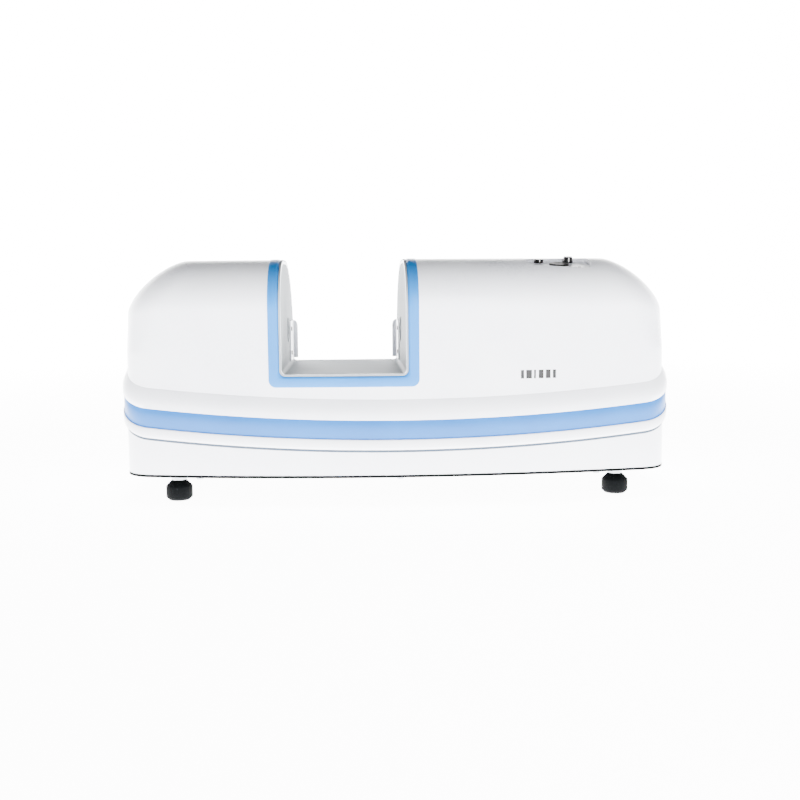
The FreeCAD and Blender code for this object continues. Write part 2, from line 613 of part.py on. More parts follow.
LAMP_BACK = LAMP_FACE - BRACKET_THICK
lamp_board = rod("X", (LAMP_BACK - 1.6, axis_y, axis_z), 14, 1.6)
node("lamp_board", lamp_board)
node("lamp_led", fuse([box((LAMP_BACK, axis_y - 3.5, axis_z - 3.5), (1.4, 7, 7)),
                       rod("X", (LAMP_BACK + 1.0, axis_y, axis_z), 2.6, 1.4)]))
fins = [box((LAMP_BACK - 5.6, axis_y - 24, axis_z - 24), (4.0, 48, 48))]
fins += [box((LAMP_BACK - 22.6, axis_y - 24, axis_z - 24 + 6.6 * i), (17.2, 48, 1.8)) for i in range(8)]
node("lamp_heatsink", fuse(fins))
SENSOR_BACK = SENSOR_FACE + BRACKET_THICK
node("sensor_board", box((SENSOR_BACK, axis_y - 18, axis_z - 18), (1.6, 36, 36)))
node("sensor_chip", box((SENSOR_BACK - 1.4, axis_y - 5, axis_z - 5), (1.4, 10, 10)))

# ---------------------------------------------------------------- electronics
PLATE_TOP = size("base_height")
BOARD_LEFT, BOARD_FRONT, BOARD_LONG, BOARD_WIDE, BOARD_Z = 95.0, -38.0, 95.0, 78.0, 34.0
board_pegs = [(BOARD_LEFT + dx, BOARD_FRONT + dy) for dx in (5.0, 90.0) for dy in (5.0, 73.0)]
board = box((BOARD_LEFT, BOARD_FRONT, BOARD_Z), (BOARD_LONG, BOARD_WIDE, BOARD_THICK))
node("main_board", cut(board, [rod("Z", (x, y, BOARD_Z - 1), 1.6, 5) for x, y in board_pegs]))
node("board_standoffs", group([rod("Z", (x, y, PLATE_TOP), 3, BOARD_Z - PLATE_TOP) for x, y in board_pegs]))
BOARD_TOP = BOARD_Z + BOARD_THICK
CHIPS = [((118, -14), (24, 24, 3)), ((150, 4), (14, 20, 2.4)), ((152, -30), (16, 12, 9)),
         ((112, 18), (12, 14, 12)), ((130, 18), (12, 14, 12)), ((97, -30), (8, 20, 8)),
         ((97, 4), (8, 24, 8)), ((172, -12), (12, 26, 10))]
node("board_parts", group([box((x, y, BOARD_TOP), sizes) for (x, y), sizes in CHIPS]))
SUPPLY = ((-195.0, -42.0), (83.0, 84.0, 30.0))
node("power_supply", box((*SUPPLY[0], PLATE_TOP), SUPPLY[1]))

# ---------------------------------------------------------------- mains entry
entry_x, entry_z = size("entry_x"), size("entry_z")
entry_wide, entry_tall, entry_deep = size("entry_width"), size("entry_height"), size("entry_deep")
SOCKET_AT, SOCKET_HALF, SOCKET_TALL, SOCKET_DEEP = -6.0, 12.3, 16.4, 16.5
FUSE_AT, FUSE_HALF, FUSE_TALL, FUSE_DEEP, ROCKER_AT, ROCKER_HALF, ROCKER_TALL = -24.5, 3.5, 15.0, 20.0, 17.5, 6.8, 16.5
RIM = num("entry_rim")
FACE_Y = COVER_BACK + RIM
frame = [box((entry_x - entry_wide / 2, COVER_BACK, entry_z - entry_tall / 2), (entry_wide, RIM, entry_tall)),
         box((entry_x - entry_wide / 2 + 2, FACE_Y - entry_deep, entry_z - entry_tall / 2 + 2),
             (entry_wide - 4, entry_deep - RIM, entry_tall - 4))]
ROCKER_Y, TRUNNION = COVER_BACK - 4.6, 1.0
pockets = [(SOCKET_AT, SOCKET_HALF, SOCKET_TALL, SOCKET_DEEP), (FUSE_AT, FUSE_HALF, FUSE_TALL, FUSE_DEEP),
           (ROCKER_AT, ROCKER_HALF, ROCKER_TALL, 14.0)]
hollows = [box((entry_x + at - half, FACE_Y - deep, entry_z - tall / 2), (2 * half, deep + 1, tall))
           for at, half, tall, deep in pockets]
trunnion_x = entry_x + ROCKER_AT - ROCKER_HALF - 1.2
trunnion_long = 2 * ROCKER_HALF + 2.4
hollows.append(rod("X", (trunnion_x, ROCKER_Y, entry_z), size("running_fit") + TRUNNION, trunnion_long))
node("inlet_frame", cut(fuse(frame), hollows))

PIN_LONG = 12.5
node("inlet_pins", group([box((entry_x + SOCKET_AT + dx - 1, FACE_Y - SOCKET_DEEP, entry_z + dz - 2),
                              (2, PIN_LONG, 4)) for dx, dz in ((-7, -1.5), (0, 2.5), (7, -1.5))]))

rocker_half, rocker_swing = ROCKER_HALF - 0.25, num("rocker_tilt")
rocker_points = [(-1.5, -4.0), (3.0, -7.0), (6.0, -7.3), (4.7, 0), (6.0, 7.3), (3.0, 7.0), (-1.5, 4.0)]
lean = math.radians(rocker_swing)
leaned = [(y * math.cos(lean) - z * math.sin(lean), y * math.sin(lean) + z * math.cos(lean))
          for y, z in rocker_points]
rocker = padded("YZ_Plane", leaned, 2 * rocker_half, (entry_x + ROCKER_AT - rocker_half, ROCKER_Y, entry_z))
axle = rod("X", (trunnion_x + 0.2, ROCKER_Y, entry_z), TRUNNION, trunnion_long - 0.4)
node("power_rocker", fuse([rocker, axle]))

FUSE_FIT = 0.1
drawer = [box((entry_x + FUSE_AT - FUSE_HALF + FUSE_FIT, FACE_Y - FUSE_DEEP + 0.6,
               entry_z - FUSE_TALL / 2 + FUSE_FIT),
              (2 * (FUSE_HALF - FUSE_FIT), FUSE_DEEP - 0.6, FUSE_TALL - 2 * FUSE_FIT)),
          box((entry_x + FUSE_AT - 2.6, FACE_Y - 0.5, entry_z + 3.0), (5.2, 1.7, 1.6))]
node("fuse_drawer", fuse(drawer))


# ---------------------------------------------------------------- internal leads
def lead(stops, leave, arrive, radius):
    """A round wire through a few points, leaving and arriving square to what it joins."""
    curve = Part.BSplineCurve()
    curve.interpolate(Points=[Vector(*p) for p in stops], InitialTangent=Vector(*leave),
                      FinalTangent=Vector(*arrive), Scale=False)
    path = Part.Wire([curve.toShape()])
    profile = Part.Wire([Part.makeCircle(radius, Vector(*stops[0]), Vector(*leave))])
    return path.makePipeShell([profile], True, True)


BOARD_SOCKET = BOARD_TOP + 8.0
tilt = math.radians(num("tray_tilt"))
control_exit = tuple(part.value for part in tray_point(0.0, 2.0, BOARD_DEEP - BOARD_THICK))
signal = [
    lead([(LAMP_BACK - 3.6, -12.0, 102.0), (LAMP_BACK - 3.6, -22.0, 90.0), (-80.0, -25.0, 64.0),
          (0.0, -25.0, 59.0), (80.0, -25.0, 61.0), (101.0, -20.0, BOARD_SOCKET)], (0, 0, -1), (0, 0, -1), 1.3),
    lead([(SENSOR_BACK + 1.6, 2.0, 128.0), (84.0, 8.0, 112.0), (101.0, 16.0, 66.0), (101.0, 16.0, BOARD_SOCKET)],
         (1, 0, 0), (0, 0, -1), 1.5),
    lead([control_exit, (131.0, -34.0, 135.0), (160.0, -24.0, 70.0), (160.0, -24.0, BOARD_TOP + 9.0)],
         (0, math.sin(tilt), -math.cos(tilt)), (0, 0, -1), 1.8),
]
node("signal_leads", fixed_shape(Part.Compound(signal)))
BODY_BACK = FACE_Y - entry_deep
supply_right = SUPPLY[0][0] + SUPPLY[1][0]
supply_top = num("base_height") + SUPPLY[1][2]
power = [
    lead([(x, BODY_BACK.value, 92.0), (x, 51.0, 80.0), (x, 40.0, 62.0), (x, 38.0, supply_top)],
         (0, -1, 0), (0, 0, -1), 2.2) for x in (-150.0, -128.0)
]
power.append(Part.makeCylinder(2.0, 97.0 - supply_right, Vector(supply_right, 10.0, 40.0), Vector(1, 0, 0)))
node("power_leads", fixed_shape(Part.Compound(power)))

# ---------------------------------------------------------------- feet
foot_r, foot_tall, stud_r = size("foot_radius"), size("foot_height"), size("stud_radius")
STUD_FOOT, STUD_TOP, NUT_FLATS, NUT_THICK = 6.0, 33.0, 10.0, 4.0
foot_nuts = []
for name, (sx, sy) in FEET.items():
    x, y = size("foot_x") * sx, size("foot_y") * sy
    node(f"foot_{name}", turned([(0, 0), (foot_r - 2.2, 0), (foot_r, 2.0), (foot_r, foot_tall - 4.2),
                                 (foot_r - 3.6, foot_tall - 0.6), (foot_r - 4.0, foot_tall),
                                 (stud_r, foot_tall), (stud_r, STUD_FOOT), (0, STUD_FOOT)], (x, y, 0)))
    node(f"stud_{name}", turned([(0, STUD_FOOT), (stud_r, STUD_FOOT), (stud_r, STUD_TOP - 1),
                                 (stud_r - 1, STUD_TOP), (0, STUD_TOP)], (x, y, 0)))
    for low in (PLATE_FOOT - NUT_THICK, PLATE_TOP):
        nut = doc.addObject("Part::Prism", "Nut")
        nut.Polygon = 6
        nut.setExpression("Circumradius", f"({NUT_FLATS} / sqrt(3))")
        nut.setExpression("Height", dim(NUT_THICK).text)
        place(nut, x, y, low)
        foot_nuts.append(cut(nut, [rod("Z", (x, y, low - 1), stud_r + size("running_fit"), NUT_THICK + 2)]))
node("foot_nuts", group(foot_nuts))

# ---------------------------------------------------------------- check and export
doc.recompute()
for item in doc.Objects:
    if "Invalid" in item.State or "Error" in item.State:
        raise RuntimeError(f"{item.Label} did not compute: {item.State}")
for item in NODES:
    if item.Shape.isNull() or not item.Shape.isValid() or not item.Shape.Solids:
        raise RuntimeError(f"{item.Label} has no valid solid")
os.makedirs("parts", exist_ok=True)
for item in NODES:
    item.Shape.exportStep(f"parts/{item.Label}.step")
print(f"{len(NODES)} nodes written")
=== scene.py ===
"""Bench lensmeter: a pillow-shaped case with a lens gap, a raised belt, a control tray and feet."""
import json
import math

import bmesh
import bpy
from mathutils import Matrix, Vector


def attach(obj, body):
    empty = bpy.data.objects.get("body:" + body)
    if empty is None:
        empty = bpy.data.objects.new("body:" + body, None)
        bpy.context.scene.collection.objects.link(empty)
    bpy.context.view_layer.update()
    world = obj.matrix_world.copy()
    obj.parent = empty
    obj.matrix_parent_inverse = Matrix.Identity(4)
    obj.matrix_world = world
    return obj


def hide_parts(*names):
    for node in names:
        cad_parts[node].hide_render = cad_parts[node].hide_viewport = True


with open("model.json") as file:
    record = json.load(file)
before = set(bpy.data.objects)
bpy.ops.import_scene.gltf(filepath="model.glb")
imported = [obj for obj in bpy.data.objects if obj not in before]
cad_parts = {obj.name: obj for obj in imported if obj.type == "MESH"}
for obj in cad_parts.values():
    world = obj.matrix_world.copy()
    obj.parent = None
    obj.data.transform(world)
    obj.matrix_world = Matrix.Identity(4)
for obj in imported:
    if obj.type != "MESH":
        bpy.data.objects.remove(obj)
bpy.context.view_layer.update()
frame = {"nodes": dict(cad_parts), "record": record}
nodes = frame["nodes"]
MM = 0.001

# ---------------------------------------------------------------- the case's form, in millimetres
HALF, FRONT, BACK, BOW, CORNER = 205.8, -85.1, 85.1, 1000.0, 24.0
SHOULDER, FRONT_SHOULDER, CREST = 113.0, 144.0, 181.5
FRONT_REACH, BACK_REACH, END_REACH, END_SHOULDER, END_POWER = 48.0, 92.0, 44.0, 141.5, 1.5
CORNER_SWELL, CREST_CORNER = 14.0, 4.0
BELT_SLOPE, BELT_BEND, BELT_REACH = 0.52, 45.0, 89.3
BASE_FOOT, RIB_FOOT, STRIPE_FOOT, STRIPE_HEAD, RIB_HEAD = 21.0, 39.0, 48.0, 62.3, 75.5
GAP_LEFT, GAP_RIGHT, GAP_FLOOR, TRIM_WIDE, LINER = -87.0, 5.0, 96.5, 9.5, 1.4
TRAY_AT, TRAY_TILT = Vector((124.0, -38.0, 176.7)), math.radians(10)
TRAY_HALF, TRAY_FRONT, TRAY_BACK, TRAY_CORNER = 25.0, 19.0, 13.0, 7.0
ENTRY_AT, ENTRY_SIZE = (-130.0, 94.0), (62.0, 20.0)


def belt_rise(y):
    """How far the belt has risen above its height at the front, in millimetres."""
    y = abs(y)
    if y >= BELT_BEND:
        return BELT_SLOPE * (BELT_REACH - y)
    radius = BELT_BEND / math.sin(math.atan(BELT_SLOPE))
    start = BELT_SLOPE * (BELT_REACH - BELT_BEND) - math.sqrt(radius ** 2 - BELT_BEND ** 2)
    return start + math.sqrt(radius ** 2 - y ** 2)


def drawn_in(reach, shoulder, height, power=2.0):
    """How far the wall has leaned in at a height above its shoulder."""
    share = min(1.0, max(0.0, (height - shoulder) / (CREST - shoulder)))
    return reach * (1 - (1 - share ** power) ** (1 / power))


GRID_END, GRID_STEP, ARC_STEPS, SIDE_STEPS, EASE_STEPS = 146.0, 4.0, 14, 10, 3
GRID = [-GRID_END + GRID_STEP * i for i in range(int(2 * GRID_END / GRID_STEP) + 1)]


def ring(half, front, back, corner, bow=BOW):
    """Stations round the case at one height, anticlockwise from the front's left grid line."""
    middle = front + bow
    knee_y = middle - math.sqrt((bow - corner) ** 2 - (half - corner) ** 2)
    touch = (half - corner) * bow / (bow - corner)
    start = math.atan2(middle - math.sqrt(bow ** 2 - touch ** 2) - knee_y, touch - (half - corner))

    def on_front(x):
        return x, middle - math.sqrt(bow ** 2 - x ** 2)

    right = [on_front(GRID_END + (touch - GRID_END) * i / EASE_STEPS) for i in range(1, EASE_STEPS)]
    for i in range(ARC_STEPS + 1):
        turn = start * (1 - i / ARC_STEPS)
        right.append((half - corner + corner * math.cos(turn), knee_y + corner * math.sin(turn)))
    right += [(half, knee_y + (back - corner - knee_y) * i / SIDE_STEPS) for i in range(1, SIDE_STEPS)]
    for i in range(ARC_STEPS + 1):
        turn = math.pi / 2 * i / ARC_STEPS
        right.append((half - corner + corner * math.cos(turn), back - corner + corner * math.sin(turn)))
    right += [(half - corner + (GRID_END - half + corner) * i / EASE_STEPS, back)
              for i in range(1, EASE_STEPS)]
    left = [(-x, y) for x, y in reversed(right)]
    return [on_front(x) for x in GRID] + right + [(x, back) for x in reversed(GRID)] + left


def crown_ring(share):
    """Stations round the crown: share 0 is the lowest shoulder, 1 the crest."""
    height = SHOULDER + (CREST - SHOULDER) * math.sin(math.pi / 2 * share)
    corner = CORNER * (1 - share ** 4) + CREST_CORNER * share ** 4
    corner += CORNER_SWELL * math.sin(math.pi * share) * (1 - share ** 4)
    stations = ring(HALF - drawn_in(END_REACH, END_SHOULDER, height, END_POWER),
                    FRONT + drawn_in(FRONT_REACH, FRONT_SHOULDER, height),
                    BACK - drawn_in(BACK_REACH, SHOULDER, height), corner)
    return [(x, y, height) for x, y in stations]


# ---------------------------------------------------------------- colours and node helper
def srgb(code, alpha=1.0):
    """An sRGB hex colour as linear numbers."""
    parts = [int(code[i:i + 2], 16) / 255 for i in (1, 3, 5)]
    return [c / 12.92 if c <= 0.04045 else ((c + 0.055) / 1.055) ** 2.4 for c in parts] + [alpha]


def add(tree, kind, inputs=None, **settings):
    """A node with its settings; an input is a number, a colour or another node's output."""
    made = tree.nodes.new(kind)
    for name, value in settings.items():
        setattr(made, name, value)
    for name, value in (inputs or {}).items():
        if isinstance(value, bpy.types.NodeSocket):
            tree.links.new(value, made.inputs[name])
        else:
            made.inputs[name].default_value = value
    return made


# ---------------------------------------------------------------- materials
def fresh(name):
    material = bpy.data.materials.new(name)
    material.use_nodes = True
    material.node_tree.nodes.clear()
    return material, material.node_tree


def shaded(tree, normal=None, **sockets):
    """The shader and the output; a socket's name has _ for each space."""
    inputs = {name.replace("_", " "): value for name, value in sockets.items()}
    if normal is not None:
        inputs["Normal"] = normal
    shader = add(tree, "ShaderNodeBsdfPrincipled", inputs)
    add(tree, "ShaderNodeOutputMaterial", {"Surface": shader.outputs[0]})


def moulded(name, light, dark, rough, grain, dent, ior=1.53):
    """Injection-moulded plastic: a fine mould texture, a slow change of shade and handled patches."""
    material, tree = fresh(name)
    place = add(tree, "ShaderNodeTexCoord").outputs["Object"]
    cloud = add(tree, "ShaderNodeTexNoise", {"Vector": place, "Scale": 1 / (45 * MM), "Detail": 3.0})
    fine = add(tree, "ShaderNodeTexNoise", {"Vector": place, "Scale": 1 / (grain * MM), "Detail": 4.0,
                                            "Roughness": 0.6})
    shade = add(tree, "ShaderNodeValToRGB", {"Fac": cloud.outputs["Fac"]})
    shade.color_ramp.elements[0].position, shade.color_ramp.elements[1].position = 0.3, 0.7
    shade.color_ramp.elements[0].color, shade.color_ramp.elements[1].color = srgb(dark), srgb(light)
    both = add(tree, "ShaderNodeMath", {0: cloud.outputs["Fac"], 1: fine.outputs["Fac"]}, operation="ADD")
    gloss = add(tree, "ShaderNodeMapRange", {"Value": both.outputs[0], "From Min": 0.7, "From Max": 1.3,
                                             "To Min": rough * 0.85, "To Max": rough * 1.15})
    bump = add(tree, "ShaderNodeBump", {"Height": fine.outputs["Fac"], "Strength": 1.0,
                                        "Distance": dent * MM})
    shaded(tree, bump.outputs[0], Base_Color=shade.outputs[0], Roughness=gloss.outputs[0], IOR=ior)
    return material


def worked_metal(name, light, dark, rough, lay, grain, dent):
    """Metal with the marks of how it was worked, drawn out along the lay (a stretch for x, y and z)."""
    material, tree = fresh(name)
    place = add(tree, "ShaderNodeTexCoord").outputs["Object"]
    drawn = add(tree, "ShaderNodeMapping", {"Vector": place, "Scale": lay})
    marks = add(tree, "ShaderNodeTexNoise", {"Vector": drawn.outputs[0], "Scale": 1 / (grain * MM),
                                             "Detail": 5.0, "Roughness": 0.7})
    shade = add(tree, "ShaderNodeValToRGB", {"Fac": marks.outputs["Fac"]})
    shade.color_ramp.elements[0].position, shade.color_ramp.elements[1].position = 0.25, 0.75
    shade.color_ramp.elements[0].color, shade.color_ramp.elements[1].color = srgb(dark), srgb(light)
    gloss = add(tree, "ShaderNodeMapRange", {"Value": marks.outputs["Fac"], "To Min": rough * 0.75,
                                             "To Max": rough * 1.25})
    bump = add(tree, "ShaderNodeBump", {"Height": marks.outputs["Fac"], "Distance": dent * MM})
    shaded(tree, bump.outputs[0], Base_Color=shade.outputs[0], Roughness=gloss.outputs[0], Metallic=1.0)
    return material


def circuit_board(name):
    """Solder-masked glass-epoxy board: dark green with lighter tracks in a loose grid."""
    material, tree = fresh(name)
    place = add(tree, "ShaderNodeTexCoord").outputs["Object"]
    tracks = add(tree, "ShaderNodeTexBrick", {"Vector": place, "Scale": 1 / (9 * MM), "Mortar Size": 0.05,
                                              "Color1": srgb("#1C5236"), "Color2": srgb("#1F5A3B"),
                                              "Mortar": srgb("#2E7A50")})
    bump = add(tree, "ShaderNodeBump", {"Height": tracks.outputs["Fac"], "Distance": 0.03 * MM})
    shaded(tree, bump.outputs[0], Base_Color=tracks.outputs["Color"], Roughness=0.35, IOR=1.5)
    return material


def coated_glass(name):
    """Polished and coated optical glass: clear, with a little dust that dulls it here and there."""
    material, tree = fresh(name)
    place = add(tree, "ShaderNodeTexCoord").outputs["Object"]
    dust = add(tree, "ShaderNodeTexNoise", {"Vector": place, "Scale": 1 / (3 * MM), "Detail": 6.0})
    dull = add(tree, "ShaderNodeMapRange", {"Value": dust.outputs["Fac"], "From Min": 0.5, "To Min": 0.01,
                                            "To Max": 0.07})
    shaded(tree, None, Base_Color=srgb("#E6F0F2"), Roughness=dull.outputs[0], Transmission_Weight=1.0,
           IOR=1.52)
    return material


BRUSHED_X, TURNED, EVEN = (0.03, 1.0, 1.0), (1.0, 1.0, 0.05), (1.0, 1.0, 1.0)
FINISHES = {
    # Gloss ABS from a polished mould: bright white, soft highlights, the faintest orange peel.
    "white_abs": moulded("gloss_white_abs", "#F0F2F8", "#EAECF4", 0.3, 2.2, 0.012, 1.4),
    # The same plastic in pale blue: a little duller in its own colour.
    "blue_abs": moulded("pale_blue_abs", "#1C76C0", "#186FB8", 0.38, 2.2, 0.012, 1.35),
    # Satin plastic from a spark-eroded mould: an even grain that breaks up highlights; its grey is painted
    # shade, darker than the case's white to stand in for the shade inside the lens gap.
    "grey_abs": moulded("satin_grey_painted_gap_shade", "#8E959B", "#848B91", 0.6, 0.9, 0.03, 1.2),
    # Powder-coated sheet steel: black, a fine ripple.
    "black_steel": moulded("black_powder_coat", "#0C0D0E", "#070809", 0.55, 0.8, 0.03, 1.25),
    # Zinc plate: bluish bright, slightly mottled.
    "zinc_steel": worked_metal("zinc_plated_steel", "#C9CCD0", "#A8ACB2", 0.34, EVEN, 1.2, 0.01),
    "black_steel_screw": worked_metal("black_oxide_steel", "#33363A", "#1D1F22", 0.42, EVEN, 0.8, 0.01),
    # Anodised aluminium: fine turning marks under a thin black film.
    "black_aluminium": worked_metal("black_anodised_aluminium", "#2A2C2F", "#1B1C1F", 0.4, TURNED, 0.5,
                                    0.008),
    "bare_aluminium": worked_metal("machined_aluminium", "#D3D6D8", "#B6BABD", 0.32, BRUSHED_X, 0.7, 0.01),
    "optical_glass": coated_glass("coated_optical_glass"),
    # Moulded rubber: nearly black, dull, with a dusty bloom.
    "rubber": moulded("black_foot_rubber", "#040607", "#030405", 0.75, 0.7, 0.05, 1.15),
    "black_plastic": moulded("satin_black_abs", "#101113", "#0A0B0C", 0.45, 0.7, 0.02, 1.3),
    "knob_plastic": moulded("gloss_black_phenolic", "#0A0B0C", "#060607", 0.3, 1.0, 0.008, 1.3),
    "green_board": circuit_board("solder_masked_board"),
    "chip_plastic": moulded("moulded_chip_epoxy", "#2A2D31", "#1E2024", 0.55, 0.4, 0.02),
    "led": moulded("lamp_phosphor_silicone", "#F2E3A0", "#E8D583", 0.3, 0.6, 0.01, 1.41),
    "brass_pin": worked_metal("nickel_plated_brass", "#D8C27A", "#C2A85C", 0.28, TURNED, 0.6, 0.006),
    "lead_sheath": moulded("pvc_lead_sheath", "#34383F", "#262A30", 0.45, 1.5, 0.02, 1.52),
    "tin_steel": worked_metal("tinned_sheet_steel", "#C4C7C9", "#A4A8AB", 0.3, BRUSHED_X, 0.9, 0.01),
}
PRINT = {
    # Pad-printed ink: flat black, a touch duller than the plastic it lies on.
    "dark": moulded("black_pad_print", "#050506", "#030304", 0.6, 0.3, 0.004),
    # Painted shadow: thin dark strips that stand in for the shade line under the lower rib (slate, below the
    # belt) and at the stripe's foot (blue, below the stripe).
    "stripe": moulded("mid_blue_abs", "#0E5FA6", "#0C589C", 0.4, 2.2, 0.012, 1.35),
    "rib_shadow": moulded("slate_painted_rib_shadow", "#2E3E52", "#283748", 0.6, 0.5, 0.01),
    "edge": moulded("blue_painted_stripe_shadow", "#1E5CA6", "#1A549C", 0.5, 0.5, 0.01),
    # White fill for the knobs' pointer lines, set down their fronts where the glossy knobs show a highlight:
    # partly a painted highlight.
    "white": moulded("pointer_line_painted_highlight", "#F4F4F2", "#EAEAE8", 0.45, 0.3, 0.004),
}
for part in frame["record"]["subparts"]:
    carried = nodes[part["node"]]
    if not carried.material_slots:
        carried.data.materials.append(FINISHES[part["material_slot"]])
    for place in carried.material_slots:
        place.material = FINISHES[part["material_slot"]]


# ---------------------------------------------------------------- mesh helpers
def as_object(name, mesh):
    made = bpy.data.objects.new(name, mesh)
    bpy.context.scene.collection.objects.link(made)
    return made


def join_and_turn(mesh):
    """Joins points that coincide and turns the faces outwards."""
    shape = bmesh.new()
    shape.from_mesh(mesh)
    bmesh.ops.remove_doubles(shape, verts=shape.verts, dist=0.002 * MM)
    bmesh.ops.recalc_face_normals(shape, faces=shape.faces)
    shape.to_mesh(mesh)
    shape.free()


def from_mm(name, points, faces):
    """A mesh object from points in millimetres, its faces turned outwards."""
    mesh = bpy.data.meshes.new(name)
    mesh.from_pydata([Vector(p) * MM for p in points], [], faces)
    join_and_turn(mesh)
    return as_object(name, mesh)


def settle(made):
    """Turns the object's modifiers into its mesh."""
    bpy.context.view_layer.update()
    result = bpy.data.meshes.new_from_object(made.evaluated_get(bpy.context.evaluated_depsgraph_get()))
    made.modifiers.clear()
    made.data = result


def finished(made, body, slot, replaced=(), material=None, crease=35):
    """Shading, finish, and the body it rides on."""
    made.data.materials.clear()
    made.data.materials.append(material or FINISHES[slot])
    made.data.polygons.foreach_set("material_index", [0] * len(made.data.polygons))
    made.data.shade_smooth()
    made.data.set_sharp_from_angle(angle=math.radians(crease))
    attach(made, body)
    if replaced:
        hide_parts(*replaced)
    return made


def carve(made, cutter, operation="DIFFERENCE"):
    """Cuts made with another object, which is then thrown away."""
    tool = made.modifiers.new("carve", "BOOLEAN")
    tool.operation, tool.solver, tool.object = operation, "EXACT", cutter
    settle(made)
    bpy.data.objects.remove(cutter)


def rounded(width_low, width_high, foot, head, corner, top_corner=0.0, steps=8):
    """Corners of a rectangle with two rounded lower corners, and upper ones if asked."""
    points = []
    spots = [(width_low, foot, corner, 180), (width_high, foot, corner, 270),
             (width_high, head, top_corner, 0), (width_low, head, top_corner, 90)]
    for x, z, radius, start in spots:
        inward_x = radius if x == width_low else -radius
        inward_z = radius if z == foot else -radius
        count = steps if radius else 0
        for i in range(count + 1):
            turn = math.radians(start + (90 * i / count if count else 0))
            points.append((x + inward_x + radius * math.cos(turn) if radius else x,
                           z + inward_z + radius * math.sin(turn) if radius else z))
    return points


def block(name, outline, low, high, lay):
    """A prism on an outline between two levels; lay turns (a, b, level) into a point."""
    count = len(outline)
    points = [lay(a, b, level) for level in (low, high) for a, b in outline]
    faces = [(i, (i + 1) % count, count + (i + 1) % count, count + i) for i in range(count)]
    faces += [tuple(range(count)), tuple(range(count, 2 * count))]
    return from_mm(name, points, faces)


def tray_point(u, v, w):
    turned = Matrix.Rotation(TRAY_TILT, 3, "X") @ Vector((u, v, w))
    return TRAY_AT + turned


def lathe(name, profile, lay, steps=48):
    """A turned shape from (radius, height) points; lay turns (x, y, height) into a point."""
    points, rows, faces = [], [], []
    for radius, height in profile:
        if radius == 0:
            rows.append([len(points)] * steps)
            points.append(lay(0, 0, height))
            continue
        rows.append(list(range(len(points), len(points) + steps)))
        points += [lay(radius * math.cos(2 * math.pi * i / steps), radius * math.sin(2 * math.pi * i / steps),
                       height) for i in range(steps)]
    for here, there in zip(rows, rows[1:] + rows[:1]):
        for i in range(steps):
            j = (i + 1) % steps
            corners = list(dict.fromkeys((here[i], here[j], there[j], there[i])))
            if len(corners) > 2:
                faces.append(corners)
    return from_mm(name, points, faces)


# ---------------------------------------------------------------- upper cover
WALL_ROWS, CROWN_ROWS, CREST_ROWS, SKIN = 12, 44, 4, 3.0


def cover_surface():
    """The cover's outer skin, open at its lower edge."""
    level = crown_ring(0)
    count = len(level)
    rows = []
    for row in range(WALL_ROWS):
        share = row / WALL_ROWS
        foot = [STRIPE_HEAD + 1.0 + belt_rise(y) for x, y, z in level]
        rows.append([(x, y, low + (SHOULDER - low) * share) for (x, y, z), low in zip(level, foot)])
    rows += [crown_ring(i / CROWN_ROWS) for i in range(CROWN_ROWS + 1)]
    points = [point for row in rows for point in row]
    faces = [(r * count + i, r * count + (i + 1) % count, (r + 1) * count + (i + 1) % count,
              (r + 1) * count + i) for r in range(len(rows) - 1) for i in range(count)]
    top, grid = (len(rows) - 1) * count, len(GRID)
    back = top + len(rows[0]) // 2
    strips = []
    for i in range(grid):
        near, far = top + i, back + grid - 1 - i
        column = [near]
        for step in range(1, CREST_ROWS):
            share = step / CREST_ROWS
            points.append(tuple(Vector(points[near]).lerp(Vector(points[far]), share)))
            column.append(len(points) - 1)
        strips.append(column + [far])
    for here, there in zip(strips, strips[1:]):
        faces += [(here[k], there[k], there[k + 1], here[k + 1]) for k in range(CREST_ROWS)]
    faces.append([top + i for i in range(grid - 1, len(rows[0]) // 2)] + [back] + strips[-1][-2:0:-1])
    faces.append([back + i for i in range(grid - 1, len(rows[0]) // 2)] + [top] + strips[0][1:-1])
    return from_mm("upper_cover_shell", points, faces)


cover = cover_surface()
wall = cover.modifiers.new("wall", "SOLIDIFY")
wall.thickness, wall.offset = SKIN * MM, -1
settle(cover)
NOTCH_HEAD, NOTCH_CORNER = 260, 5.5
notch = rounded(GAP_LEFT - TRIM_WIDE, GAP_RIGHT + TRIM_WIDE, GAP_FLOOR - TRIM_WIDE, NOTCH_HEAD, NOTCH_CORNER)
carve(cover, block("notch", notch, -120, 120, lambda a, b, level: (a, level, b)))
tray_edge = rounded(-TRAY_HALF, TRAY_HALF, -TRAY_FRONT, TRAY_BACK, TRAY_CORNER, TRAY_CORNER)
carve(cover, block("tray_hole", tray_edge, -9, 20, tray_point))
entry_x, entry_z = ENTRY_AT
carve(cover, block("entry_hole", rounded(entry_x - ENTRY_SIZE[0] / 2, entry_x + ENTRY_SIZE[0] / 2,
                                         entry_z - ENTRY_SIZE[1] / 2, entry_z + ENTRY_SIZE[1] / 2, 0),
                   70, 95, lambda a, b, level: (a, level, b)))
finished(cover, "case", "white_abs", ["upper_cover"], crease=40)


# ---------------------------------------------------------------- geometry trees
def new_tree(name, sockets):
    """A tree that takes a geometry, the named sockets and a finish; returns it with its inputs."""
    tree = bpy.data.node_groups.new(name, "GeometryNodeTree")
    wanted = [("Geometry", "Geometry"), *sockets, ("Finish", "Material")]
    for label, kind in wanted:
        tree.interface.new_socket(label, in_out="INPUT", socket_type="NodeSocket" + kind)
    tree.interface.new_socket("Geometry", in_out="OUTPUT", socket_type="NodeSocketGeometry")
    return tree, add(tree, "NodeGroupInput").outputs


def hand_out(tree, given, geometry):
    """Gives the geometry its finish and makes it the tree's result."""
    coated = add(tree, "GeometryNodeSetMaterial", {"Geometry": geometry, "Material": given["Finish"]})
    add(tree, "NodeGroupOutput", {"Geometry": coated.outputs[0]})
    return tree


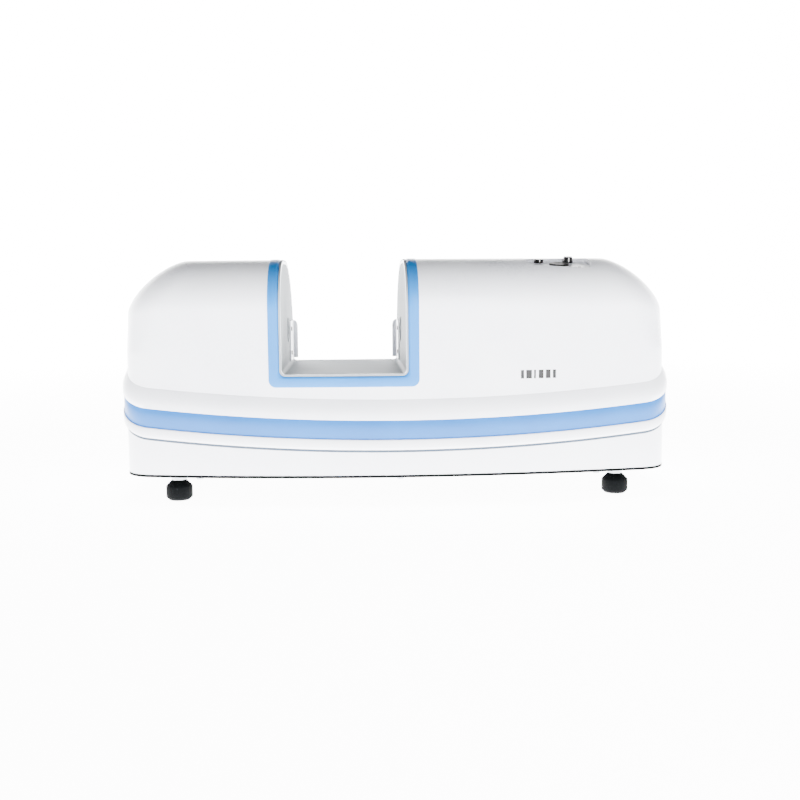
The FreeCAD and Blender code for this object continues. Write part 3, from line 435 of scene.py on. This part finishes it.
# ---------------------------------------------------------------- bands that run round the case
def band_tree():
    """Sweeps a section round the case's outline and lifts it along the belt's arch."""
    heights = ("Slope", "Bend", "Reach", "Level height", "Full height")
    tree, given = new_tree("case_band", [("Section", "Object"), *[(label, "Float") for label in heights]])
    path = add(tree, "GeometryNodeMeshToCurve", {"Mesh": given["Geometry"]})
    upright = add(tree, "GeometryNodeSetCurveNormal", {"Curve": path.outputs[0]}, mode="Z_UP")
    drawn = add(tree, "GeometryNodeObjectInfo", {"Object": given["Section"]})
    section = add(tree, "GeometryNodeMeshToCurve", {"Mesh": drawn.outputs["Geometry"]})
    swept = add(tree, "GeometryNodeCurveToMesh", {"Curve": upright.outputs[0],
                                                  "Profile Curve": section.outputs[0]})

    def work(operation, first, second=0.0):
        return add(tree, "ShaderNodeMath", {0: first, 1: second}, operation=operation).outputs[0]

    spot = add(tree, "ShaderNodeSeparateXYZ", {0: add(tree, "GeometryNodeInputPosition").outputs[0]}).outputs
    y, slope, bend, reach = work("ABSOLUTE", spot["Y"]), given["Slope"], given["Bend"], given["Reach"]
    straight = work("MULTIPLY", slope, work("SUBTRACT", reach, y))
    radius = work("DIVIDE", bend, work("SINE", work("ARCTANGENT", slope)))
    square = work("MULTIPLY", radius, radius)
    at_bend = work("SQRT", work("SUBTRACT", square, work("MULTIPLY", bend, bend)))
    here = work("SQRT", work("MAXIMUM", work("SUBTRACT", square, work("MULTIPLY", y, y))))
    at_start = work("MULTIPLY", slope, work("SUBTRACT", reach, bend))
    arched = work("ADD", at_start, work("SUBTRACT", here, at_bend))
    rise = add(tree, "GeometryNodeSwitch", {"Switch": work("LESS_THAN", y, bend), "False": straight,
                                            "True": arched}, input_type="FLOAT")
    share = add(tree, "ShaderNodeMapRange", {"Value": spot["Z"], "From Min": given["Level height"],
                                             "From Max": given["Full height"]})
    lift = add(tree, "ShaderNodeCombineXYZ", {"Z": work("MULTIPLY", rise.outputs[0], share.outputs[0])})
    moved = add(tree, "GeometryNodeSetPosition", {"Geometry": swept.outputs[0], "Offset": lift.outputs[0]})
    return hand_out(tree, given, moved.outputs[0])


def loop(name, points):
    """A closed chain of edges through points in millimetres."""
    mesh = bpy.data.meshes.new(name)
    count = len(points)
    mesh.from_pydata([Vector(p) * MM for p in points], [(i, (i + 1) % count) for i in range(count)], [])
    return as_object(name, mesh)


def with_tree(made, tree, values):
    """Runs a tree on made, its inputs given by name, and keeps the plain mesh."""
    modifier = made.modifiers.new("form", "NODES")
    modifier.node_group = tree
    for item in tree.interface.items_tree:
        if item.in_out == "INPUT" and item.name in values:
            modifier[item.identifier] = values[item.name]
    made.update_tag()
    settle(made)


BAND = band_tree()
RISE = {"Slope": BELT_SLOPE, "Bend": BELT_BEND * MM, "Reach": BELT_REACH * MM}


def band(name, section, slot, level=-1.0, full=0.0):
    """A closed section, given as (outwards, height), swept round the case."""
    made = loop(name, [(x, y, 0) for x, y in ring(HALF, FRONT, BACK, CORNER)])
    drawn = loop(name + "_section", [(out, -height, 0) for out, height in section])
    with_tree(made, BAND, {**RISE, "Section": drawn, "Level height": level * MM, "Full height": full * MM,
                           "Finish": FINISHES[slot]})
    bpy.data.objects.remove(drawn)
    join_and_turn(made.data)
    return made


upper_rib = band("upper_rib", [(-1.5, 62.4), (3.9, 62.4), (4.2, 62.8), (4.2, 66.2), (4.0, 67.8), (3.5, 69.6),
                               (2.6, 71.6), (1.5, 73.4), (0.5, 74.8), (-0.1, 75.6), (-1.5, 76.0)],
                 "white_abs")
finished(upper_rib, "case", "white_abs", crease=50)
stripe = band("blue_stripe", [(-1.5, 48.1), (3.2, 48.1), (3.4, 48.4), (3.4, 61.9), (3.2, 62.2), (-1.5, 62.2)],
              "blue_abs")
finished(stripe, "case", "blue_abs", ["belt_strip"], PRINT["stripe"], crease=50)
lower_rib = band("lower_rib", [(-1.5, 47.9), (3.9, 47.9), (4.2, 47.5), (4.2, 42.6), (3.9, 41.0), (2.8, 39.7),
                               (1.2, 39.1), (-1.5, 39.0)], "white_abs")
finished(lower_rib, "case", "white_abs", crease=50)
# Painted shadow: a slate strip under the lower rib, where the rib's shade line falls.
rib_shadow = band("base_gasket", [(-1.4, 37.5), (2.1, 37.5), (2.3, 38.2), (2.3, 39.1), (-1.4, 39.1)], "blue_abs")
finished(rib_shadow, "case", "blue_abs", material=PRINT["rib_shadow"], crease=50)
# Painted shadow: a darker blue strip at the stripe's foot, where the groove's shade falls.
edge = band("stripe_seam", [(-1.4, 47.6), (3.6, 47.6), (3.75, 47.8), (3.75, 48.3), (3.6, 48.5), (-1.4, 48.5)],
            "blue_abs")
finished(edge, "case", "blue_abs", material=PRINT["edge"], crease=50)
sole = band("plate_edge", [(0.85, 19.6), (1.3, 19.6), (1.45, 19.8), (1.45, 21.2), (1.3, 21.4), (0.85, 21.2)],
            "rubber", level=22.0, full=39.0)
finished(sole, "case", "rubber", crease=50)
base = band("lower_wall", [(1.3, 22.0), (1.0, 21.3), (0.3, 21.0), (-1.7, 21.0), (-1.7, 41.0), (1.3, 41.0)],
            "white_abs", level=22.0, full=39.0)


def row_tree():
    """A row of equal blocks at one pitch."""
    tree, given = new_tree("slot_row", [("Count", "Int"), ("Pitch", "Vector"), ("Start", "Vector"),
                                        ("Size", "Vector")])
    line = add(tree, "GeometryNodeMeshLine", {"Count": given["Count"], "Start Location": given["Start"],
                                              "Offset": given["Pitch"]})
    one = add(tree, "GeometryNodeMeshCube", {"Size": given["Size"]})
    many = add(tree, "GeometryNodeInstanceOnPoints", {"Points": line.outputs[0], "Instance": one.outputs[0]})
    real = add(tree, "GeometryNodeRealizeInstances", {"Geometry": many.outputs[0]})
    return hand_out(tree, given, real.outputs[0])


ROW = row_tree()
slots = as_object("vent_slots", bpy.data.meshes.new("vent_slots"))
with_tree(slots, ROW, {"Count": 13, "Pitch": (7 * MM, 0, 0), "Start": (61.5 * MM, 83 * MM, 30 * MM),
                       "Size": (3 * MM, 8 * MM, 10 * MM), "Finish": FINISHES["white_abs"]})
carve(base, slots)
finished(base, "case", "white_abs", ["lower_shell"], crease=50)


# ---------------------------------------------------------------- gap trim and lip
SECTION_ROWS, BEND_STEPS, FLOOR_STEPS, CREST_STEPS = 40, 8, 24, 6


def wall_point(x, z, back=False):
    """A point of the upright front or back wall, with the way out of it."""
    if back:
        return Vector((x, BACK, z)), Vector((0, 1, 0))
    deep = math.sqrt(BOW ** 2 - x ** 2)
    return Vector((x, FRONT + BOW - deep, z)), Vector((x / BOW, -deep / BOW, 0))


def crossing(x, foot):
    """Points over the case at one x from the front's foot to the back's, with the ways out."""
    front = [Vector((x, wall_point(x, z)[0].y, z)) for z in
             [foot + (SHOULDER - foot) * i / 6 for i in range(6)]]
    back = [Vector((x, BACK, p.z)) for p in front]
    bulge = wall_point(x, 0)[0].y - FRONT
    for i in range(SECTION_ROWS + 1):
        z = SHOULDER + (CREST - SHOULDER) * math.sin(math.pi / 2 * i / SECTION_ROWS)
        front.append(Vector((x, FRONT + bulge + drawn_in(FRONT_REACH, FRONT_SHOULDER, z), z)))
        back.append(Vector((x, BACK - drawn_in(BACK_REACH, SHOULDER, z), z)))
    crest = [front[-1].lerp(back[-1], i / CREST_STEPS) for i in range(1, CREST_STEPS)]
    path = front + crest + back[::-1]
    outs = []
    for i in range(len(path)):
        along = path[min(i + 1, len(path) - 1)] - path[max(i - 1, 0)]
        outs.append(Vector((0, -along.z, along.y)).normalized())
    return list(zip(path, outs))


def rail(grow, corner):
    """A closed line round the gap's edge at a distance from it, with the ways out of the case."""
    low_x, high_x, floor = GAP_LEFT - grow, GAP_RIGHT + grow, GAP_FLOOR - grow
    stops = crossing(low_x, floor + corner)

    def bottom(first, last, back):
        return [wall_point(first + (last - first) * i / FLOOR_STEPS, floor, back)
                for i in range(FLOOR_STEPS + 1)]

    def arc(middle_x, first, last, back):
        spots = []
        for i in range(1, BEND_STEPS):
            angle = math.radians(first + (last - first) * i / BEND_STEPS)
            spots.append(wall_point(middle_x + corner * math.cos(angle),
                                    floor + corner + corner * math.sin(angle), back))
        return spots

    stops += arc(low_x + corner, 180, 270, True) + bottom(low_x + corner, high_x - corner, True)
    stops += arc(high_x - corner, -90, 0, True) + crossing(high_x, floor + corner)[::-1]
    stops += arc(high_x - corner, 0, -90, False) + bottom(high_x - corner, low_x + corner, False)
    stops += arc(low_x + corner, 270, 180, False)
    return stops


def edging(name, outer, inner, section):
    """A closed band between two rails; the section is (share across, height above the case)."""
    count, points, faces = len(section), [], []
    for (a, out_a), (b, out_b) in zip(outer, inner):
        for share, height in section:
            points.append(a.lerp(b, share) + out_a.lerp(out_b, share).normalized() * height)
    total = len(outer)
    for i in range(total):
        j = (i + 1) % total
        faces += [(i * count + k, i * count + (k + 1) % count, j * count + (k + 1) % count, j * count + k)
                  for k in range(count)]
    return from_mm(name, points, faces)


trim_outer, trim_inner, gap_edge = rail(TRIM_WIDE, 5.5), rail(LINER, 4.4), rail(0, 3.0)
trim = edging("gap_trim_band", trim_outer, trim_inner,
              [(0.0, -3.0), (0.0, 0.0), (0.03, 0.25), (0.08, 0.38), (0.72, 0.38), (0.84, 0.2), (0.94, -0.4),
               (1.0, -1.2), (1.0, -3.0)])
finished(trim, "case", "blue_abs", ["gap_trim"], crease=40)
lip = edging("gap_lip", trim_inner, gap_edge,
             [(0.0, -3.0), (0.0, -0.7), (0.2, -0.35), (0.55, -0.2), (0.9, -0.35), (1.02, -0.8), (1.02, -3.0)])
finished(lip, "case", "white_abs", crease=50)


# ---------------------------------------------------------------- controls
def disc_row_tree():
    """Equal grip ribs set round a turned knob."""
    measures = ("Ring radius", "Rib radius", "Rib length", "Foot height", "Lean")
    tree, given = new_tree("grip_ribs", [("Count", "Int"), *[(label, "Float") for label in measures]])
    spots = add(tree, "GeometryNodeMeshCircle", {"Vertices": given["Count"], "Radius": given["Ring radius"]})
    one = add(tree, "GeometryNodeMeshCone", {"Vertices": 8, "Radius Top": given["Rib radius"],
                                             "Radius Bottom": given["Rib radius"], "Depth": given["Rib length"]})
    step = add(tree, "ShaderNodeMath", {0: add(tree, "GeometryNodeInputIndex").outputs[0],
                                        1: math.tau}, operation="MULTIPLY")
    turn = add(tree, "ShaderNodeMath", {0: step.outputs[0], 1: given["Count"]}, operation="DIVIDE")
    lean = add(tree, "ShaderNodeMath", {0: given["Lean"], 1: -1.0}, operation="MULTIPLY")
    angle = add(tree, "ShaderNodeCombineXYZ", {"Y": lean.outputs[0], "Z": turn.outputs[0]})
    many = add(tree, "GeometryNodeInstanceOnPoints", {"Points": spots.outputs[0], "Instance": one.outputs[0],
                                                      "Rotation": angle.outputs[0]})
    real = add(tree, "GeometryNodeRealizeInstances", {"Geometry": many.outputs[0]})
    lift = add(tree, "ShaderNodeCombineXYZ", {"Z": given["Foot height"]})
    raised = add(tree, "GeometryNodeSetPosition", {"Geometry": real.outputs[0], "Offset": lift.outputs[0]})
    return hand_out(tree, given, raised.outputs[0])


RIBS = disc_row_tree()


def knob(name, u, v, low, top, tall, body, replaced):
    """A tapered knob with grip ribs and a white pointer line down its front, partly a painted highlight,
    standing in the tilted tray.
    """
    def lay(x, y, h):
        return tray_point(u + x, v + y, h)

    turned = lathe(name + "_body", [(1.5, 0.4), (low - 0.4, 0.4), (low, 0.7), (low, 1.1), (low - 0.25, 1.3),
                                    (top, tall - 0.7), (top - 0.15, tall - 0.3), (top - 0.5, tall),
                                    (top - 1.2, tall - 0.15), (0, tall - 0.15), (0, 2.0), (1.5, 2.0)], lay)
    finished(turned, body, "knob_plastic", replaced)
    ribs = as_object(name + "_ribs", bpy.data.meshes.new(name + "_ribs"))
    middle, length = (low + top - 0.3) / 2 - 0.02, tall - 2.2
    lean = math.atan((low - 0.25 - top) / (tall - 2.0))
    with_tree(ribs, RIBS, {"Count": 20, "Ring radius": middle * MM, "Rib radius": 0.22 * MM,
                           "Rib length": length * MM, "Foot height": (1.4 + length / 2) * MM,
                           "Lean": lean, "Finish": FINISHES["knob_plastic"]})
    place = Matrix.Translation(tray_point(u, v, 0) * MM) @ Matrix.Rotation(TRAY_TILT, 4, "X")
    ribs.data.transform(place)
    finished(ribs, body, "knob_plastic")
    # The white line runs down the knob's front side and over its top, where the glossy knob shows its highlight:
    # a pointer line that is also a painted highlight.
    half, rise = 0.4, 0.12
    line = block(name + "_line", [(-(low + 0.15), 1.2), (-(top + 0.2), tall - 0.5),
                                  (-(top - 0.4), tall + rise),
                                  (-0.6, tall + rise), (-0.6, tall - 0.4), (-(top - 0.9), tall - 0.4),
                                  (-(low - 0.7), 1.2)],
                 -half, half, lambda a, b, level: lay(level, a, b))
    finished(line, body, "knob_plastic", material=PRINT["white"])


knob("small_knob", -12.3, 6.5, 3.8, 3.4, 3.0, "small_control", ["small_knob"])
knob("tall_knob", 10.5, 6.5, 4.2, 3.3, 4.6, "tall_control", ["tall_knob"])
button = lathe("measure_button_cap", [(0, -7.9), (2, -7.9), (2, -2.6), (7.6, -2.6), (7.6, 0.7), (7.45, 1.1),
                                      (7.0, 1.4), (6.2, 1.42), (3.8, 1.0), (0, 0.85)],
               lambda x, y, h: tray_point(1.6 + x, -4.5 + y, h), 64)
finished(button, "button", "black_plastic", ["measure_button"])

MARK_FOOT, MARK_HEAD = 91.6, 98.0
mark_bars = ((90.0, 92.4), (94.0, 98.4), (100.0, 101.4), (103.6, 107.2), (109.0, 112.6), (114.4, 116.8))
for number, (first, last) in enumerate(mark_bars):
    bar = block(f"front_mark_{number}", [(first, MARK_FOOT), (last, MARK_FOOT), (last, MARK_HEAD),
                                             (first, MARK_HEAD)], -0.1, 0.1,
                lambda a, b, level: wall_point(a, b)[0] + wall_point(a, b)[1] * level)
    finished(bar, "case", "white_abs", material=PRINT["dark"])
LEGEND_BAR, LEGEND_PITCH, LEGEND_V = (2.4, 2.6, 0.06), 3.2, -15.2
for name, count, first_u in (("tray_legend", 4, -14), ("tray_legend_right", 2, 12)):
    legend = as_object(name, bpy.data.meshes.new(name))
    with_tree(legend, ROW, {"Count": count, "Pitch": (LEGEND_PITCH * MM, 0, 0),
                            "Start": (first_u * MM, LEGEND_V * MM, 0.02 * MM),
                            "Size": tuple(side * MM for side in LEGEND_BAR), "Finish": PRINT["dark"]})
    legend.data.transform(Matrix.Translation(TRAY_AT * MM) @ Matrix.Rotation(TRAY_TILT, 4, "X"))
    finished(legend, "case", "white_abs", material=PRINT["dark"])


# ---------------------------------------------------------------- feet
for name, (sx, sy) in {"front_left": (-1, -1), "front_right": (1, -1), "rear_left": (-1, 1),
                       "rear_right": (1, 1)}.items():
    foot = lathe("foot_pad_" + name, [(0, 0.6), (6.4, 0.6), (6.8, 0.0), (7.6, 0.0), (8.0, 0.3), (9.7, 1.9),
                                      (10, 2.5), (10, 10.3), (9.7, 11.0), (6.7, 14.1), (6.0, 14.7),
                                      (5.7, 15.0), (3.0, 15.0), (3.0, 6.0), (0, 6.0)],
                 lambda x, y, h: (168 * sx + x, 55 * sy + y, h))
    finished(foot, "levelling_foot_" + name, "rubber", ["foot_" + name])


# ---------------------------------------------------------------- floor, light and camera
RING_FRONT, RING_BACK, RING_LEFT, RING_RIGHT, CEILING = 0.8, 17.0, 1.2, 0.9, 0.03
FLOOR_NEAR, FLOOR_FAR = 12.0, 17.0
floor = from_mm("floor", [(-2500, -1800, -0.2), (2500, -1800, -0.2), (2500, 3200, -0.2), (-2500, 3200, -0.2)],
                [(0, 1, 2, 3)])
paper, paper_tree = fresh("white_paper_floor")
paper_place = add(paper_tree, "ShaderNodeTexCoord").outputs["Object"]
paper_grain = add(paper_tree, "ShaderNodeTexNoise", {"Vector": paper_place, "Scale": 1 / (6 * MM),
                                                     "Detail": 3.0})
paper_bump = add(paper_tree, "ShaderNodeBump", {"Height": paper_grain.outputs["Fac"], "Distance": 0.02 * MM})
paper_away = add(paper_tree, "ShaderNodeVectorMath", {0: paper_place}, operation="LENGTH")
paper_glow = add(paper_tree, "ShaderNodeMapRange", {"Value": paper_away.outputs["Value"], "From Min": 0.5,
                                                    "From Max": 2.2, "To Min": FLOOR_NEAR, "To Max": FLOOR_FAR})
shaded(paper_tree, paper_bump.outputs[0], Base_Color=srgb("#F8F8F8"), Roughness=0.8,
       Emission_Color=srgb("#FFFFFF"), Emission_Strength=paper_glow.outputs[0])
floor.data.materials.append(paper)

# A bright backdrop behind and a dim room elsewhere; the floor lights the fronts, so the tops are grey.
world = bpy.data.worlds.new("studio")
world.use_nodes = True
bpy.context.scene.world = world
sky = world.node_tree
sky.nodes.clear()
way = add(sky, "ShaderNodeSeparateXYZ", {0: add(sky, "ShaderNodeTexCoord").outputs["Generated"]}).outputs


def ramp(value, low, high, first, last):
    return add(sky, "ShaderNodeMapRange", {"Value": value, "From Min": low, "From Max": high, "To Min": first,
                                           "To Max": last}, interpolation_type="SMOOTHSTEP").outputs["Result"]


around = add(sky, "ShaderNodeMath", {0: ramp(way["Y"], 0.2, 0.8, RING_FRONT, RING_BACK),
                                     1: ramp(way["X"], -0.9, 0.9, RING_LEFT, RING_RIGHT)}, operation="MULTIPLY")
bright = add(sky, "ShaderNodeMixRGB", {"Fac": ramp(way["Z"], 0.24, 0.5, 0.0, 1.0), "Color1": around.outputs[0],
                                       "Color2": (CEILING, CEILING, CEILING, 1)})
glow = add(sky, "ShaderNodeBackground", {"Color": srgb("#FFFFFF"), "Strength": bright.outputs["Color"]})
add(sky, "ShaderNodeOutputWorld", {"Surface": glow.outputs[0]})


def soft_light(name, at, aim, size, power):
    lamp = bpy.data.lights.new(name, "AREA")
    lamp.shape, lamp.size, lamp.size_y, lamp.energy = "RECTANGLE", size[0], size[1], power
    made = bpy.data.objects.new(name, lamp)
    bpy.context.scene.collection.objects.link(made)
    made.location = at
    made.rotation_euler = (Vector(aim) - Vector(at)).to_track_quat("-Z", "Y").to_euler()


soft_light("tray_box", (0.14, -0.55, 0.34), (0.124, -0.03, 0.18), (0.14, 0.14), 2.2)

CAMERA_AT, LENS, SENSOR = (-0.0340, -0.8379, 0.1574), 46.35, 36
YAW, PITCH, ROLL = 0.045, 0.106, -0.008
ahead = Vector((math.sin(YAW) * math.cos(PITCH), math.cos(YAW) * math.cos(PITCH), -math.sin(PITCH)))
level = Vector((math.cos(YAW), -math.sin(YAW), 0))
right = level * math.cos(ROLL) + level.cross(ahead) * math.sin(ROLL)
camera = bpy.data.objects.new("camera", bpy.data.cameras.new("camera"))
bpy.context.scene.collection.objects.link(camera)
camera.data.lens, camera.data.sensor_width = LENS, SENSOR
camera.matrix_world = Matrix.Translation(CAMERA_AT) @ Matrix(
    (right, right.cross(ahead), -ahead)).transposed().to_4x4()
bpy.context.scene.camera = camera
